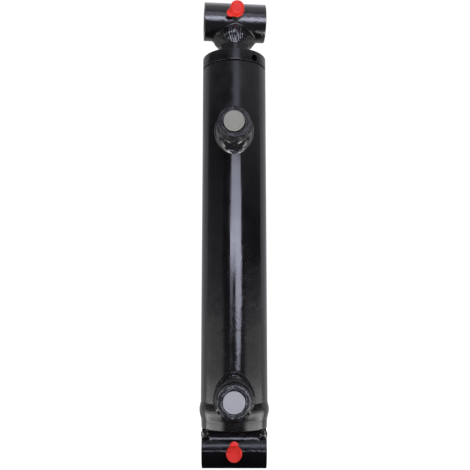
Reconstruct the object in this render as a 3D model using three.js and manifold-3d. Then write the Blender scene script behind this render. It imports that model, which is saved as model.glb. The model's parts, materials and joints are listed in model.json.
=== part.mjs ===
// A welded double-acting hydraulic cylinder with a cross tube at each end, shown fully retracted.
//
// Millimetres, +Z up. The origin is the centre of the base cross tube's pin bore, and +Z runs along the
// piston rod towards the rod end. Both ports and both grease fittings face -Y; the base pin lies along X.
// The piston rod can slide 203.2 mm out of the barrel and turn freely in it.

import * as THREE from "three";
import { mergeVertices } from "three/addons/utils/BufferGeometryUtils.js";
import Module from "manifold-3d";

const wasm = await Module();
wasm.setup();

// ---- Driving dimensions ------------------------------------------------------------------------------

const GAP = 0.3; // running and assembly gap between neighbouring pieces
const ROUND = 32; // sides of the large round pieces
const FINE = 20; // sides of the small round pieces
const OVERSHOOT = 5; // how far a cutting tool runs past the piece it cuts

const BORE_R = 25.4; // 2 inch bore
const BARREL_R = 31.75; // 2.5 inch outside diameter
const ROD_R = 15.875; // 1.25 inch chromed rod
const STROKE = 203.2; // 8 inch stroke

const TUBE_R = 19.05; // cross tubes, 1.5 inch outside diameter
const PIN_BORE_R = 12.9; // takes a 1 inch pin
const BASE_TUBE_WIDTH = 60;
const ROD_TUBE_WIDTH = 62;
const PIN_TO_PIN = 422.5; // retracted length between the pin centres
const ROD_TURN = THREE.MathUtils.degToRad(5.2); // the rod end is stored turned a little out of line

const CAP_BOTTOM_Z = 18; // flat end of the base cap, which the base cross tube is welded to
const CAP_R = 31.3;
const CAP_TOP_Z = 41; // inner face of the base cap
const WELD_ROOT_Z = 35; // where the barrel tube meets the base cap
const SEAM_Z = 369; // end of the barrel tube, where the gland's flange starts
const FLANGE_Z = SEAM_Z + 0.7; // the flange stops a little above the tube, which leaves a dark seam
const GLAND_TOP_Z = 381.5;
const GLAND_NOSE_Z = 292; // inner end of the gland, which stops the piston

const BASE_PORT_Z = 46.8;
const ROD_PORT_Z = 299.5;
const BOSS_R = 15;
const BOSS_FACE = BARREL_R + 24; // distance of a port's face from the barrel's axis
const PORT_R = 9.1; // size 8 straight-thread port, minor radius
const PORT_DEPTH = 16;
const PASSAGE_R = 6;

const PISTON_BOTTOM_Z = 57;
const PISTON_TOP_Z = GLAND_NOSE_Z - GAP - STROKE;
const PISTON_R = 24.9;
const STUD_R = 12.7; // turned-down end of the rod that carries the piston

// ---- Materials ---------------------------------------------------------------------------------------

function finish(color, roughness, metalness) {
  return new THREE.MeshStandardMaterial({ color, roughness, metalness });
}

const blackPaint = finish(0x161617, 0.3, 0.1);
const chrome = finish(0xc9ccd0, 0.12, 1);
const machinedSteel = finish(0x8d9094, 0.4, 1);
const zincSteel = finish(0xb4b19f, 0.35, 1);
const ductileIron = finish(0x54565a, 0.55, 0.9);
const nitrileRubber = finish(0x141414, 0.7, 0);
const greenUrethane = finish(0x2f6f5a, 0.5, 0);
const brownNylon = finish(0x6b4a33, 0.55, 0);
const whiteSealPlastic = finish(0xd8d2c4, 0.5, 0);
const greyPlug = finish(0x92938f, 0.5, 0);
const redCap = finish(0xd42f34, 0.4, 0);

// ---- Solids ------------------------------------------------------------------------------------------

// A closed three.js geometry as a manifold-3d solid.
function solid(geometry) {
  const bare = geometry.index ? geometry.toNonIndexed() : geometry.clone();
  bare.deleteAttribute("normal");
  bare.deleteAttribute("uv");
  const merged = mergeVertices(bare, 1e-4);
  const mesh = new wasm.Mesh({
    numProp: 3,
    vertProperties: merged.attributes.position.array,
    triVerts: new Uint32Array(merged.index.array),
  });
  return new wasm.Manifold(mesh);
}

// A manifold-3d solid as a three.js geometry.
function geometryOf(manifold) {
  const mesh = manifold.getMesh();
  const geometry = new THREE.BufferGeometry();
  geometry.setAttribute("position", new THREE.BufferAttribute(new Float32Array(mesh.vertProperties), 3));
  geometry.setIndex(new THREE.BufferAttribute(new Uint32Array(mesh.triVerts), 1));
  return geometry.toNonIndexed();
}

// A profile of [radius, z] points turned round the Z axis. A ring's profile closes on itself; a solid
// piece's profile starts and ends on the axis.
function turned(profile, sides = ROUND) {
  const area = profile.reduce((sum, [r, z], i) => {
    const [nextR, nextZ] = profile[(i + 1) % profile.length];
    return sum + r * nextZ - nextR * z;
  }, 0);
  const points = profile.map(([r, z]) => new THREE.Vector2(r, z));
  const isRing = profile.every(([r]) => r > 0);
  if (isRing) points.push(points[0].clone());
  if (area < 0) points.reverse();
  return new THREE.LatheGeometry(points, sides).rotateX(Math.PI / 2);
}

// A plain round bar along Z from z0 to z1.
function bar(radius, z0, z1, sides = ROUND) {
  return turned([[0, z0], [radius, z0], [radius, z1], [0, z1]], sides);
}

// A ring of round section: an O-ring lying in a plane across Z.
function oRing(meanRadius, sectionRadius, z) {
  const section = [];
  const corners = 6;
  for (let i = 0; i < corners; i++) {
    const angle = ((i + 0.5) / corners) * 2 * Math.PI;
    section.push([meanRadius + sectionRadius * Math.cos(angle), z + sectionRadius * Math.sin(angle)]);
  }
  return turned(section);
}

// Turns a piece made along +Z to point along X, or along -Y.
const alongX = (geometry) => geometry.rotateY(Math.PI / 2);
const alongFront = (geometry) => geometry.rotateX(Math.PI / 2);

function named(name, geometry, material) {
  const mesh = new THREE.Mesh(geometry, material);
  mesh.name = name;
  return mesh;
}

// ---- Cross tubes and grease fittings -----------------------------------------------------------------

const FITTING_STEM_R = 4.9;
const FITTING_HOLE_R = FITTING_STEM_R + GAP;
const TUBE_CHAMFER = 1.2;
const BASE_FITTING_Z = -1.2; // the base tube's fitting sits a little below its centre line
const ROD_FITTING_Z = 0;

// A length of heavy tube along X round the origin, with a tapped hole for the grease fitting at that
// height on its front.
function crossTube(width, fittingZ) {
  const half = width / 2;
  const profile = [
    [PIN_BORE_R, -half + 0.6],
    [PIN_BORE_R + 0.6, -half],
    [TUBE_R - TUBE_CHAMFER, -half],
    [TUBE_R, -half + TUBE_CHAMFER],
    [TUBE_R, half - TUBE_CHAMFER],
    [TUBE_R - TUBE_CHAMFER, half],
    [PIN_BORE_R + 0.6, half],
    [PIN_BORE_R, half - 0.6],
  ];
  const hole = alongFront(bar(FITTING_HOLE_R, PIN_BORE_R / 2, TUBE_R + OVERSHOOT, FINE));
  return geometryOf(solid(alongX(turned(profile))).subtract(solid(hole.translate(0, 0, fittingZ))));
}

// The space that a cross tube takes, grown by the assembly gap: what its neighbours are cut with.
function crossTubeCutter(z) {
  return solid(alongX(bar(TUBE_R + GAP, -ROD_TUBE_WIDTH, ROD_TUBE_WIDTH)).translate(0, 0, z));
}

// The fitting's parts are made along +Z with z = 0 at the cross tube's surface.
const HEX_TOP = 5.8;
const FITTING_TOP = 14.4;
const FITTING_BORE_R = 2.1;
const BALL_R = 1.6;
const BALL_Z = FITTING_TOP - 3.3;
const SPRING_BOTTOM = -2.6;

function fittingBody() {
  const profile = [
    [1.2, -5.8],
    [FITTING_STEM_R - 0.6, -5.8],
    [FITTING_STEM_R, -5.2],
    [FITTING_STEM_R, 1.5],
    [2.9, 1.5],
    [2.9, FITTING_TOP - 5.2],
    [3.3, FITTING_TOP - 4],
    [3.3, FITTING_TOP - 2.4],
    [2.1, FITTING_TOP],
    [1, FITTING_TOP],
    [1, FITTING_TOP - 1.4],
    [FITTING_BORE_R, BALL_Z + 0.3],
    [FITTING_BORE_R, -3],
    [1.2, -3.4],
  ];
  const hexWidth = 11.1;
  const cornerR = hexWidth / Math.sqrt(3);
  const hex = turned([[2.9, GAP], [cornerR, GAP], [cornerR, HEX_TOP], [2.9, HEX_TOP]], 6);
  return geometryOf(solid(turned(profile, FINE)).add(solid(hex)));
}

function fittingBall() {
  return new THREE.SphereGeometry(BALL_R, 12, 6).translate(0, 0, BALL_Z);
}

// The coil spring under the ball.
class Helix extends THREE.Curve {
  constructor(radius, bottom, top, turns) {
    super();
    Object.assign(this, { radius, bottom, top, turns });
  }

  getPoint(t) {
    const angle = 2 * Math.PI * this.turns * t;
    const z = THREE.MathUtils.lerp(this.bottom, this.top, t);
    return new THREE.Vector3(this.radius * Math.cos(angle), this.radius * Math.sin(angle), z);
  }
}

function fittingSpring() {
  const wireR = 0.25;
  const turns = 4;
  const section = new THREE.Shape().absarc(0, 0, wireR, 0, 2 * Math.PI);
  const coil = new Helix(1.35, SPRING_BOTTOM, BALL_Z - BALL_R - 0.4, turns);
  const options = { steps: turns * 9, curveSegments: 2, bevelEnabled: false, extrudePath: coil };
  return new THREE.ExtrudeGeometry(section, options);
}

// The soft dust cap: a cup over the fitting's head, with a rim and a pull tab that points along +Y.
function greaseCap() {
  const skirtZ = 6.6;
  const rimZ = 8.2;
  const rimR = 7.3;
  const faceZ = 17.5;
  const boreR = 3.9;
  const outside = [
    [0, skirtZ],
    [5.4, skirtZ],
    [5.6, rimZ],
    [rimR, rimZ],
    [rimR, rimZ + 2.2],
    [6.9, rimZ + 2.8],
    [6.6, faceZ - 1.2],
    [6.1, faceZ],
    [5.5, faceZ],
    [5.2, faceZ - 0.5],
    [0, faceZ - 0.5],
  ];
  const tabR = 4;
  const tabReach = 6.8;
  const tab = new THREE.Shape();
  tab.moveTo(-tabR, rimR / 2);
  tab.lineTo(tabR, rimR / 2);
  tab.lineTo(tabR, tabReach);
  tab.absarc(0, tabReach, tabR, 0, Math.PI);
  tab.closePath();
  const tabSolid = new THREE.ExtrudeGeometry(tab, { depth: 1.8, curveSegments: 8, bevelEnabled: false });
  const bore = bar(boreR, skirtZ - OVERSHOOT, FITTING_TOP + 0.6, FINE);
  const cup = solid(turned(outside, FINE)).add(solid(tabSolid.translate(0, 0, rimZ)));
  return geometryOf(cup.subtract(solid(bore)));
}

// The four pieces of one grease fitting on a cross tube's front at that height. Its cap's pull tab points
// that many degrees anticlockwise from +Z, as seen from the front.
function greaseFitting(prefix, fittingZ, tabAngle) {
  const group = new THREE.Group();
  group.position.z = fittingZ;
  const place = (geometry) => alongFront(geometry.translate(0, 0, TUBE_R));
  const cap = greaseCap().rotateZ(THREE.MathUtils.degToRad(tabAngle));
  group.add(
    named(prefix + "_grease_fitting_body", place(fittingBody()), zincSteel),
    named(prefix + "_grease_fitting_ball", place(fittingBall()), chrome),
    named(prefix + "_grease_fitting_spring", place(fittingSpring()), machinedSteel),
    named(prefix + "_grease_cap", place(cap), redCap),
  );
  return group;
}

// ---- Barrel weldment ---------------------------------------------------------------------------------

function baseCap() {
  const profile = [
    [0, CAP_BOTTOM_Z],
    [CAP_R - 1, CAP_BOTTOM_Z],
    [CAP_R - 0.4, CAP_BOTTOM_Z + 0.6],
    [CAP_R, WELD_ROOT_Z - 7.4],
    [CAP_R, WELD_ROOT_Z - 4.4],
    [27, WELD_ROOT_Z - GAP],
    [BORE_R - GAP, WELD_ROOT_Z - GAP],
    [BORE_R - GAP, CAP_TOP_Z - 0.8],
    [BORE_R - GAP - 0.8, CAP_TOP_Z],
    [0, CAP_TOP_Z],
  ];
  return geometryOf(solid(turned(profile)).subtract(crossTubeCutter(0)));
}

// The tube is bevelled at the bottom for its weld and counterbored at the top for the gland's thread.
const THREAD_R = 28.2;
const THREAD_Z = 341;

function barrelTube() {
  const profile = [
    [BORE_R, WELD_ROOT_Z],
    [27.4, WELD_ROOT_Z],
    [BARREL_R, WELD_ROOT_Z + 4.8],
    [BARREL_R, SEAM_Z - 0.5],
    [BARREL_R - 0.5, SEAM_Z],
    [THREAD_R + 0.6, SEAM_Z],
    [THREAD_R, SEAM_Z - 0.6],
    [THREAD_R, THREAD_Z],
    [BORE_R, THREAD_Z - 1.5],
  ];
  let tube = solid(turned(profile));
  for (const z of [BASE_PORT_Z, ROD_PORT_Z]) {
    const hole = alongFront(bar(PASSAGE_R, BORE_R / 2, BARREL_R + OVERSHOOT, FINE)).translate(0, 0, z);
    tube = tube.subtract(solid(hole));
  }
  return geometryOf(tube);
}

// The space that the barrel takes, grown by the assembly gap.
function barrelCutter() {
  return solid(bar(BARREL_R + GAP, 0, SEAM_Z + 100));
}

// A port boss standing on the barrel, with its stepped port.
function portBoss(z) {
  const innerEnd = BARREL_R / 2;
  const outside = [
    [0, innerEnd],
    [BOSS_R, innerEnd],
    [BOSS_R, BOSS_FACE - 0.8],
    [BOSS_R - 0.8, BOSS_FACE],
    [0, BOSS_FACE],
  ];
  const port = [
    [0, 0],
    [PASSAGE_R, 0],
    [PASSAGE_R, BOSS_FACE - PORT_DEPTH - 1],
    [PORT_R, BOSS_FACE - PORT_DEPTH + 1],
    [PORT_R, BOSS_FACE - 2.4],
    [PORT_R + 1.3, BOSS_FACE],
    [PORT_R + 1.3, BOSS_FACE + OVERSHOOT],
    [0, BOSS_FACE + OVERSHOOT],
  ];
  const body = solid(alongFront(turned(outside)).translate(0, 0, z));
  const cut = solid(alongFront(turned(port, FINE)).translate(0, 0, z));
  return geometryOf(body.subtract(cut).subtract(barrelCutter()));
}

// How far each port's weld reaches from the port's centre, up and down the barrel's front line.
const BASE_PORT_WELD_REACH = { up: 25.5, down: 21 };
const ROD_PORT_WELD_REACH = { up: 23.5, down: 24.5 };

// The fillet weld round a boss: a cone that is longer along the barrel than across it.
function portWeldCone(z, reach, grow) {
  const legHeight = 6;
  const top = BARREL_R + legHeight;
  const bottom = BARREL_R - 7.5;
  const topR = BOSS_R + 0.9 + grow;
  const bottomR = 19.8 + grow;
  const cone = new THREE.CylinderGeometry(topR, bottomR, top - bottom, ROUND).toNonIndexed();
  // CylinderGeometry stands along Y with its top at +Y, and the top faces the front, which is -Y.
  cone.rotateX(Math.PI);
  const position = cone.attributes.position;
  // The weld has its reach at the barrel's front line, which is only part of the way down the cone.
  const share = legHeight / (top - bottom);
  for (let i = 0; i < position.count; i++) {
    const isTop = position.getY(i) < 0;
    if (isTop) continue;
    const wanted = (position.getZ(i) > 0 ? reach.up : reach.down) + grow;
    const bottomReach = topR + (wanted - topR) / share;
    position.setZ(i, (position.getZ(i) * bottomReach) / bottomR);
  }
  return cone.translate(0, -(top + bottom) / 2, z);
}

function portWeld(z, reach) {
  const boss = alongFront(bar(BOSS_R + GAP, 0, BOSS_FACE + OVERSHOOT)).translate(0, 0, z);
  return geometryOf(solid(portWeldCone(z, reach, 0)).subtract(solid(boss)).subtract(barrelCutter()));
}

// The weld that joins the barrel tube to the base cap, stopped where the port's weld crosses it.
function girthWeld() {
  const profile = [
    [CAP_R + GAP, WELD_ROOT_Z - 8.4],
    [CAP_R + GAP, WELD_ROOT_Z - 4.3],
    [27.9, WELD_ROOT_Z - 0.1],
    [27.9, WELD_ROOT_Z + 0.1],
    [BARREL_R + GAP, WELD_ROOT_Z + 4.9],
    [BARREL_R + GAP, WELD_ROOT_Z + 8.4],
    [32.7, WELD_ROOT_Z + 6.8],
    [33.4, WELD_ROOT_Z + 3.4],
    [33.4, WELD_ROOT_Z - 1.6],
    [32.5, WELD_ROOT_Z - 5.4],
  ];
  const portWeldSpace = solid(portWeldCone(BASE_PORT_Z, BASE_PORT_WELD_REACH, 2 * GAP));
  return geometryOf(solid(turned(profile)).subtract(portWeldSpace));
}

// One of the two fillet welds between the base cap's flat end and the base cross tube.
function baseTubeWeld(side) {
  const top = CAP_BOTTOM_Z - GAP;
  const toeAngle = THREE.MathUtils.degToRad(34);
  const rootR = TUBE_R + GAP;
  const section = new THREE.Shape();
  section.moveTo(Math.sqrt(rootR ** 2 - top ** 2), top);
  section.absarc(0, 0, rootR, Math.asin(top / rootR), toeAngle, true);
  section.lineTo(19.5, 13.6);
  section.lineTo(23.5, top);
  section.closePath();
  const length = 56;
  // The section's x runs outwards along Y and its y along Z.
  const run = new THREE.ExtrudeGeometry(section, { depth: length, curveSegments: 6, bevelEnabled: false });
  run.translate(0, 0, -length / 2).rotateX(Math.PI / 2).rotateZ((side * Math.PI) / 2);
  return geometryOf(solid(run).intersect(solid(bar(CAP_R - 1, 0, CAP_BOTTOM_Z + OVERSHOOT))));
}

// A hollow push-in plug with a flat head.
function portPlug(z) {
  const headR = 9.7;
  const stemR = PORT_R - 0.45;
  const profile = [
    [0, BOSS_FACE - 1],
    [stemR - 1.3, BOSS_FACE - 1],
    [stemR - 1.3, BOSS_FACE - 12],
    [stemR - 0.5, BOSS_FACE - 12],
    [stemR, BOSS_FACE - 11],
    [stemR, BOSS_FACE + GAP],
    [headR, BOSS_FACE + GAP],
    [headR, BOSS_FACE + 2],
    [headR - 0.6, BOSS_FACE + 2.6],
    [0, BOSS_FACE + 2.6],
  ];
  return alongFront(turned(profile, FINE)).translate(0, 0, z);
}

// ---- Gland and its seals -----------------------------------------------------------------------------

const GLAND_BORE_R = ROD_R + 0.35;
const WIPER_GROOVE_Z = 376;
const ROD_SEAL_Z = [360.5, 367.5];
const GUIDE_BAND_Z = [337, 352];
const STATIC_SEAL_Z = [325.5, 331.5];
const STATIC_SEAL_R = 22.4;

function gland() {
  const profile = [
    [GLAND_BORE_R + 0.8, GLAND_NOSE_Z],
    [20, GLAND_NOSE_Z],
    [20, 318],
    [BORE_R - GAP, 318],
    [BORE_R - GAP, STATIC_SEAL_Z[0]],
    [STATIC_SEAL_R, STATIC_SEAL_Z[0]],
    [STATIC_SEAL_R, STATIC_SEAL_Z[1]],
    [BORE_R - GAP, STATIC_SEAL_Z[1]],
    [BORE_R - GAP, THREAD_Z],
    [THREAD_R - GAP, THREAD_Z + 2],
    [THREAD_R - GAP, FLANGE_Z],
    [BARREL_R - 0.4, FLANGE_Z],
    [BARREL_R, FLANGE_Z + 0.4],
    [BARREL_R, GLAND_TOP_Z - 1.2],
    [BARREL_R - 0.4, GLAND_TOP_Z - 0.35],
    [BARREL_R - 1.2, GLAND_TOP_Z],
    [20, GLAND_TOP_Z],
    [20, WIPER_GROOVE_Z],
    [GLAND_BORE_R, WIPER_GROOVE_Z],
    [GLAND_BORE_R, ROD_SEAL_Z[1]],
    [20.6, ROD_SEAL_Z[1]],
    [20.6, ROD_SEAL_Z[0]],
    [GLAND_BORE_R, ROD_SEAL_Z[0]],
    [GLAND_BORE_R, GUIDE_BAND_Z[1]],
    [18.5, GUIDE_BAND_Z[1]],
    [18.5, GUIDE_BAND_Z[0]],
    [GLAND_BORE_R, GUIDE_BAND_Z[0]],
    [GLAND_BORE_R, GLAND_NOSE_Z + 0.8],
  ];
  // Two blind holes for a pin spanner, on opposite sides of the flange.
  const spannerHoleR = 3.4;
  const spannerHoleFloorR = 22.3;
  const firstHoleAngle = THREE.MathUtils.degToRad(39);
  let body = solid(turned(profile));
  for (const angle of [firstHoleAngle, firstHoleAngle + Math.PI]) {
    const hole = alongFront(bar(spannerHoleR, spannerHoleFloorR, BARREL_R + OVERSHOOT, 16));
    body = body.subtract(solid(hole.rotateZ(angle).translate(0, 0, 374.2)));
  }
  return geometryOf(body);
}

function rodWiper() {
  return turned([
    [ROD_R + 1.4, WIPER_GROOVE_Z + GAP],
    [19.7, WIPER_GROOVE_Z + GAP],
    [19.7, GLAND_TOP_Z - 0.3],
    [18.2, GLAND_TOP_Z + 0.2],
    [17, GLAND_TOP_Z + 1.6],
    [ROD_R + GAP, GLAND_TOP_Z + 1.6],
    [ROD_R + GAP, GLAND_TOP_Z + 0.9],
    [ROD_R + 1.4, GLAND_TOP_Z - 1.2],
  ]);
}

// A U-cup, open towards the pressure below it.
function rodSeal() {
  const [bottom, top] = [ROD_SEAL_Z[0] + GAP, ROD_SEAL_Z[1] - GAP];
  return turned([
    [ROD_R + GAP, bottom],
    [17.3, bottom],
    [18.2, bottom + 3],
    [19.1, bottom],
    [20.3, bottom],
    [20.3, top],
    [ROD_R + 0.6, top],
  ]);
}

function band(innerR, outerR, [bottom, top]) {
  return turned([
    [innerR, bottom + GAP],
    [outerR, bottom + GAP],
    [outerR, top - GAP],
    [innerR, top - GAP],
  ]);
}

// ---- Piston and rod ----------------------------------------------------------------------------------

const PISTON_HALF_LENGTH = (PISTON_TOP_Z - PISTON_BOTTOM_Z) / 2;
const PISTON_MID_Z = PISTON_BOTTOM_Z + PISTON_HALF_LENGTH;
const BAND_GROOVE_R = 22.6;
const SEAL_GROOVE_R = 20.2;
const LOWER_BAND_Z = [PISTON_BOTTOM_Z + 3.4, PISTON_BOTTOM_Z + 9.4];
const UPPER_BAND_Z = [PISTON_TOP_Z - 9.4, PISTON_TOP_Z - 3.4];
const PISTON_SEAL_Z = [PISTON_MID_Z - 3.2, PISTON_MID_Z + 3.2];

function piston() {
  const outside = [LOWER_BAND_Z, PISTON_SEAL_Z, UPPER_BAND_Z].flatMap(([bottom, top], i) => {
    const grooveR = i === 1 ? SEAL_GROOVE_R : BAND_GROOVE_R;
    return [[PISTON_R, bottom], [grooveR, bottom], [grooveR, top], [PISTON_R, top]];
  });
  return turned([
    [STUD_R + GAP, PISTON_BOTTOM_Z],
    [PISTON_R - 0.8, PISTON_BOTTOM_Z],
    [PISTON_R, PISTON_BOTTOM_Z + 0.8],
    ...outside,
    [PISTON_R, PISTON_TOP_Z - 0.8],
    [PISTON_R - 0.8, PISTON_TOP_Z],
    [STUD_R + GAP, PISTON_TOP_Z],
  ]);
}

const NUT_BOTTOM_Z = 42.3;
const NUT_TOP_Z = PISTON_BOTTOM_Z - GAP;

// The lock nut's hexagon is bevelled by a cone at each end.
function lockNut() {
  const widthAcrossFlats = 38.1;
  const cornerR = widthAcrossFlats / Math.sqrt(3);
  const threadR = 12.3;
  const hex = bar(cornerR, NUT_BOTTOM_Z, NUT_TOP_Z, 6);
  const bevel = 1.6;
  const limit = turned([
    [0, NUT_BOTTOM_Z],
    [cornerR - bevel, NUT_BOTTOM_Z],
    [cornerR + GAP, NUT_BOTTOM_Z + bevel],
    [cornerR + GAP, NUT_TOP_Z - bevel],
    [cornerR - bevel, NUT_TOP_Z],
    [0, NUT_TOP_Z],
  ]);
  const hole = bar(threadR, NUT_BOTTOM_Z - OVERSHOOT, NUT_TOP_Z + OVERSHOOT);
  return geometryOf(solid(hex).intersect(solid(limit)).subtract(solid(hole)));
}

// The chromed rod, turned down for the piston and its nut, and coped at the top to fit the cross tube.
function pistonRod() {
  const sealGrooveR = 10.9;
  const profile = [
    [0, NUT_BOTTOM_Z - 0.7],
    [11, NUT_BOTTOM_Z - 0.7],
    [12, NUT_BOTTOM_Z + 0.5],
    [12, NUT_TOP_Z],
    [STUD_R, NUT_TOP_Z + 1],
    [STUD_R, PISTON_MID_Z - 1.5],
    [sealGrooveR, PISTON_MID_Z - 1.5],
    [sealGrooveR, PISTON_MID_Z + 1.5],
    [STUD_R, PISTON_MID_Z + 1.5],
    [STUD_R, PISTON_TOP_Z + GAP],
    [ROD_R - 0.6, PISTON_TOP_Z + GAP],
    [ROD_R, PISTON_TOP_Z + GAP + 1],
    [ROD_R, PIN_TO_PIN - TUBE_R / 2],
    [0, PIN_TO_PIN - TUBE_R / 2],
  ];
  return geometryOf(solid(turned(profile)).subtract(crossTubeCutter(PIN_TO_PIN)));
}

// The weld between the rod and its cross tube. Its foot is a circle on the rod, and its upper edge is
// where an upright oval meets the tube.
function rodTubeWeld() {
  const footZ = 395;
  const ovalX = 22.5;
  const ovalY = 17.6;
  const innerTop = PIN_TO_PIN;
  const rings = [[], [], []];
  for (let i = 0; i < ROUND; i++) {
    const angle = (i / ROUND) * 2 * Math.PI;
    const x = Math.cos(angle);
    const y = Math.sin(angle);
    const toeZ = PIN_TO_PIN - Math.sqrt(TUBE_R ** 2 - (ovalY * y) ** 2);
    rings[0].push([(ROD_R + 0.5) * x, (ROD_R + 0.5) * y, footZ]);
    rings[1].push([ovalX * x, ovalY * y, toeZ]);
    rings[2].push([ovalX * x, ovalY * y, innerTop]);
  }
  const triangles = [];
  const quad = (a, b, c, d) => triangles.push(a, b, c, a, c, d);
  for (let i = 0; i < ROUND; i++) {
    const next = (i + 1) % ROUND;
    triangles.push([0, 0, footZ], rings[0][next], rings[0][i]);
    quad(rings[0][i], rings[0][next], rings[1][next], rings[1][i]);
    quad(rings[1][i], rings[1][next], rings[2][next], rings[2][i]);
    triangles.push([0, 0, innerTop], rings[2][i], rings[2][next]);
  }
  const geometry = new THREE.BufferGeometry();
  geometry.setAttribute("position", new THREE.Float32BufferAttribute(triangles.flat(), 3));
  const rodSpace = solid(bar(ROD_R + GAP, footZ - OVERSHOOT, PIN_TO_PIN));
  return geometryOf(solid(geometry).subtract(rodSpace).subtract(crossTubeCutter(PIN_TO_PIN)));
}

// ---- Assembly ----------------------------------------------------------------------------------------

const FRONT = -1;
const BACK = 1;

const barrel = new THREE.Group();
barrel.add(
  named("barrel_tube", barrelTube(), blackPaint),
  named("base_cap", baseCap(), blackPaint),
  named("girth_weld", girthWeld(), blackPaint),
  named("base_cross_tube", crossTube(BASE_TUBE_WIDTH, BASE_FITTING_Z), blackPaint),
  named("base_tube_weld_front", baseTubeWeld(FRONT), blackPaint),
  named("base_tube_weld_back", baseTubeWeld(BACK), blackPaint),
  named("base_port_boss", portBoss(BASE_PORT_Z), blackPaint),
  named("base_port_weld", portWeld(BASE_PORT_Z, BASE_PORT_WELD_REACH), blackPaint),
  named("rod_port_boss", portBoss(ROD_PORT_Z), blackPaint),
  named("rod_port_weld", portWeld(ROD_PORT_Z, ROD_PORT_WELD_REACH), blackPaint),
  greaseFitting("base", BASE_FITTING_Z, 0),
);

const plugs = new THREE.Group();
plugs.add(
  named("base_port_plug", portPlug(BASE_PORT_Z), greyPlug),
  named("rod_port_plug", portPlug(ROD_PORT_Z), greyPlug),
);

const BACKUP_RING_Z = [STATIC_SEAL_Z[1] - 2.6, STATIC_SEAL_Z[1]];

const head = new THREE.Group();
head.add(
  named("gland", gland(), blackPaint),
  named("rod_wiper", rodWiper(), greenUrethane),
  named("rod_seal", rodSeal(), greenUrethane),
  named("rod_guide_band", band(GLAND_BORE_R + 0.02, 18.2, GUIDE_BAND_Z), brownNylon),
  named("gland_o_ring", oRing(23.9, 1.2, STATIC_SEAL_Z[0] + 1.6), nitrileRubber),
  named("gland_backup_ring", band(STATIC_SEAL_R + GAP, BORE_R - GAP, BACKUP_RING_Z), whiteSealPlastic),
);

const pistonSeals = new THREE.Group();
pistonSeals.add(
  named("piston_seal", band(22.9, BORE_R - GAP, PISTON_SEAL_Z), whiteSealPlastic),
  named("piston_seal_o_ring", oRing(21.55, 1, PISTON_MID_Z), nitrileRubber),
  named("piston_guide_band_lower", band(BAND_GROOVE_R + GAP, BORE_R - GAP, LOWER_BAND_Z), brownNylon),
  named("piston_guide_band_upper", band(BAND_GROOVE_R + GAP, BORE_R - GAP, UPPER_BAND_Z), brownNylon),
);

const rodEnd = new THREE.Group();
rodEnd.position.z = PIN_TO_PIN;
rodEnd.add(
  named("rod_cross_tube", crossTube(ROD_TUBE_WIDTH, ROD_FITTING_Z), blackPaint),
  greaseFitting("rod", ROD_FITTING_Z, 118),
);

const rod = new THREE.Group();
rod.rotation.z = ROD_TURN;
rod.add(
  named("piston_rod", pistonRod(), chrome),
  named("rod_tube_weld", rodTubeWeld(), blackPaint),
  named("piston", piston(), ductileIron),
  named("piston_lock_nut", lockNut(), machinedSteel),
  named("piston_o_ring", oRing(11.95, 0.72, PISTON_MID_Z), nitrileRubber),
  rodEnd,
);

const hydraulicCylinder = new THREE.Group();
hydraulicCylinder.add(barrel, plugs, head, pistonSeals, rod);

export default hydraulicCylinder;
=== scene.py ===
"""Looks of the hydraulic cylinder: fine meshes, materials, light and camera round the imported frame.

Everything is in metres in the frame's own axes: the origin is the base pin's centre, +Z runs along the
rod and the ports face -Y. Sizes come from the frame's boxes; MM turns a millimetre detail into metres.
"""

import json
import math

import bmesh
import bpy
from mathutils import Matrix, Vector, noise

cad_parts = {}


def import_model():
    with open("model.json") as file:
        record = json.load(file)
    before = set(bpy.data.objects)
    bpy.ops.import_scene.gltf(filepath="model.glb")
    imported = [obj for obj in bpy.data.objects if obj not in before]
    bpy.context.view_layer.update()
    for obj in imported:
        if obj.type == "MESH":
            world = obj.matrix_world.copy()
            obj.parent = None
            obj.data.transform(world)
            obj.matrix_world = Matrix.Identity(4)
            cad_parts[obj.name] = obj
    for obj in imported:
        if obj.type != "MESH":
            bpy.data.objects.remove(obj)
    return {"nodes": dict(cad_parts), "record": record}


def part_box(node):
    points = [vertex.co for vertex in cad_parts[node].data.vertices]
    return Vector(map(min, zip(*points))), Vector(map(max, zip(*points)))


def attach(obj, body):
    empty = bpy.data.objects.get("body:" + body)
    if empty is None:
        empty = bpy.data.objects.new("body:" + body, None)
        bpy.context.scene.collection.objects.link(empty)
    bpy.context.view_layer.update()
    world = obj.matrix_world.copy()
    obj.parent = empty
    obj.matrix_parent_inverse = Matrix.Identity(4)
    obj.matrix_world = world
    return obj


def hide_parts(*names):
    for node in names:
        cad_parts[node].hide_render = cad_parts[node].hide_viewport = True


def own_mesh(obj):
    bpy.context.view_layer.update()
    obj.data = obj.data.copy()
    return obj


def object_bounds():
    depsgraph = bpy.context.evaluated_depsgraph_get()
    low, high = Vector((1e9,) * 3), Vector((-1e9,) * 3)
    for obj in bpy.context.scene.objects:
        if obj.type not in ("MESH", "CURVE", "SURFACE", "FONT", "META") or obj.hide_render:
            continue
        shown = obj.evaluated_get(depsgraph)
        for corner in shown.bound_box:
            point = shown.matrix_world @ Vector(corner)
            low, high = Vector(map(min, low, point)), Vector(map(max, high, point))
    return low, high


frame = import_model()
cad_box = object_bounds()

MM = 0.001
SEGMENTS = 160
FINE_SEGMENTS = 72
SHARP_ANGLE = math.radians(38)
SLIVER = 0.002 * MM
BIT_TURN = math.radians(0.7)
UNMOVED = Matrix.Identity(4)
ALONG_X = Matrix.Rotation(math.radians(90), 4, "Y")
ALONG_FRONT = Matrix.Rotation(math.radians(90), 4, "X")


def raised(z):
    return Matrix.Translation((0, 0, z))


def turned_by(angle):
    return Matrix.Rotation(angle, 4, "Z")


# ---- Driving dimensions, most of them read from the frame ----


def box(node):
    """The node's lowest corner, its highest corner and its middle."""
    low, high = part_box(node)
    return low, high, (low + high) / 2


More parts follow.
